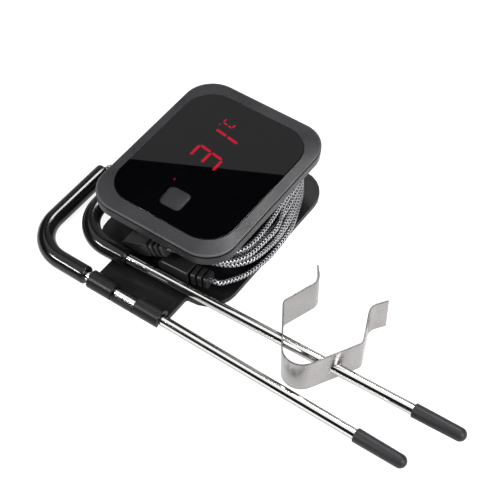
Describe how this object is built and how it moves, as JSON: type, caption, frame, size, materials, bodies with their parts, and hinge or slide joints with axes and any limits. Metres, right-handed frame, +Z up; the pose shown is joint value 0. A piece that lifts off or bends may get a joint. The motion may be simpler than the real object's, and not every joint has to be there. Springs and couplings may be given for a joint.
{
  "type": "meat thermometer",
  "caption": "Electronic meat thermometer with a black display, corded steel probes wound on its spool, a probe snap clip and a folded steel grate clip",
  "frame": {"origin": "on the rear plate's flat underside, in front of the battery cover, where the rear_face mount is", "axes": "+X along the probes towards their tips, +Y along the display's long side away from the snap clip, +Z up out of the display"},
  "size_m": [0.1829, 0.0955, 0.0302],
  "materials": {
    "matt_black_abs": "matt moulded black ABS",
    "black_abs": "fine textured black ABS",
    "charcoal_abs": "satin charcoal ABS",
    "window_pmma": "gloss black tinted PMMA",
    "button_silicone": "soft dark grey silicone",
    "switch_nylon": "black nylon",
    "switch_steel": "tinned steel",
    "board": "green solder mask",
    "display_epoxy": "black epoxy",
    "screw_steel": "zinc plated steel",
    "contact_steel": "nickel plated steel",
    "cell_wrap": "plain printed cell wrap",
    "jack_nylon": "black nylon",
    "plug_pvc": "soft black PVC",
    "probe_steel": "polished stainless steel",
    "sleeve_silicone": "gloss black silicone",
    "cap_silicone": "soft dark grey silicone",
    "clip_steel": "satin stainless spring steel",
    "cable_braid": "stainless steel braid"
  },
  "bodies": {
    "housing": {"battery_bridge": "contact_steel", "battery_cell_1": "cell_wrap", "battery_cell_2": "cell_wrap", "battery_contact_1": "contact_steel", "battery_contact_2": "contact_steel", "battery_spring_1": "contact_steel", "battery_spring_2": "contact_steel", "cable_1_winding": "cable_braid", "cable_2_winding": "cable_braid", "case_screw_1": "screw_steel", "case_screw_2": "screw_steel", "case_screw_3": "screw_steel", "case_screw_4": "screw_steel", "circuit_board": "board", "cover_screw_1": "screw_steel", "cover_screw_2": "screw_steel", "cover_screw_3": "screw_steel", "cover_screw_4": "screw_steel", "display_window": "window_pmma", "front_cover": "charcoal_abs", "led_display": "display_epoxy", "plug_1": "plug_pvc", "plug_2": "plug_pvc", "plug_pin_1": "contact_steel", "plug_pin_2": "contact_steel", "probe_jack_1": "jack_nylon", "probe_jack_2": "jack_nylon", "rear_case": "black_abs", "rear_plate": "matt_black_abs", "switch_body": "switch_steel"},
    "power_button": {"power_button": "button_silicone", "switch_plunger": "switch_nylon"},
    "battery_cover": {"battery_cover": "matt_black_abs"},
    "probe_1": {"probe_rod_1": "probe_steel", "probe_sleeve_1": "sleeve_silicone"},
    "probe_2": {"probe_rod_2": "probe_steel", "probe_sleeve_2": "sleeve_silicone"},
    "tip_cap_1": {"tip_cap_1": "cap_silicone"},
    "tip_cap_2": {"tip_cap_2": "cap_silicone"},
    "grate_clip": {"grate_clip": "clip_steel"}
  },
  "joints": [
    {"name": "button_press", "type": "slide", "parent": "housing", "child": "power_button", "axis": [0, 0, -1], "range_m": [0, 0.00035], "stiffness_N_per_m": 600},
    {"name": "battery_cover_slide", "type": "slide", "parent": "housing", "child": "battery_cover", "axis": [0, 1, 0], "range_m": [0, 0.056]},
    {"name": "probe_1_slide", "type": "slide", "parent": "housing", "child": "probe_1", "axis": [1, -0.008, 0], "range_m": [-0.01, 0.0015]},
    {"name": "probe_2_lift", "type": "slide", "parent": "housing", "child": "probe_2", "axis": [0, 0, 1], "range_m": [0, 0.012]},
    {"name": "tip_cap_1_slide", "type": "slide", "parent": "probe_1", "child": "tip_cap_1", "axis": [1, -0.008, 0], "range_m": [0, 0.02]},
    {"name": "tip_cap_2_slide", "type": "slide", "parent": "probe_2", "child": "tip_cap_2", "axis": [0.9995, 0.0307, 0], "range_m": [0, 0.02]},
    {"name": "grate_clip_slide", "type": "slide", "parent": "probe_2", "child": "grate_clip", "axis": [0.9995, 0.0307, 0], "range_m": [-0.008, 0.025]}
  ]
}
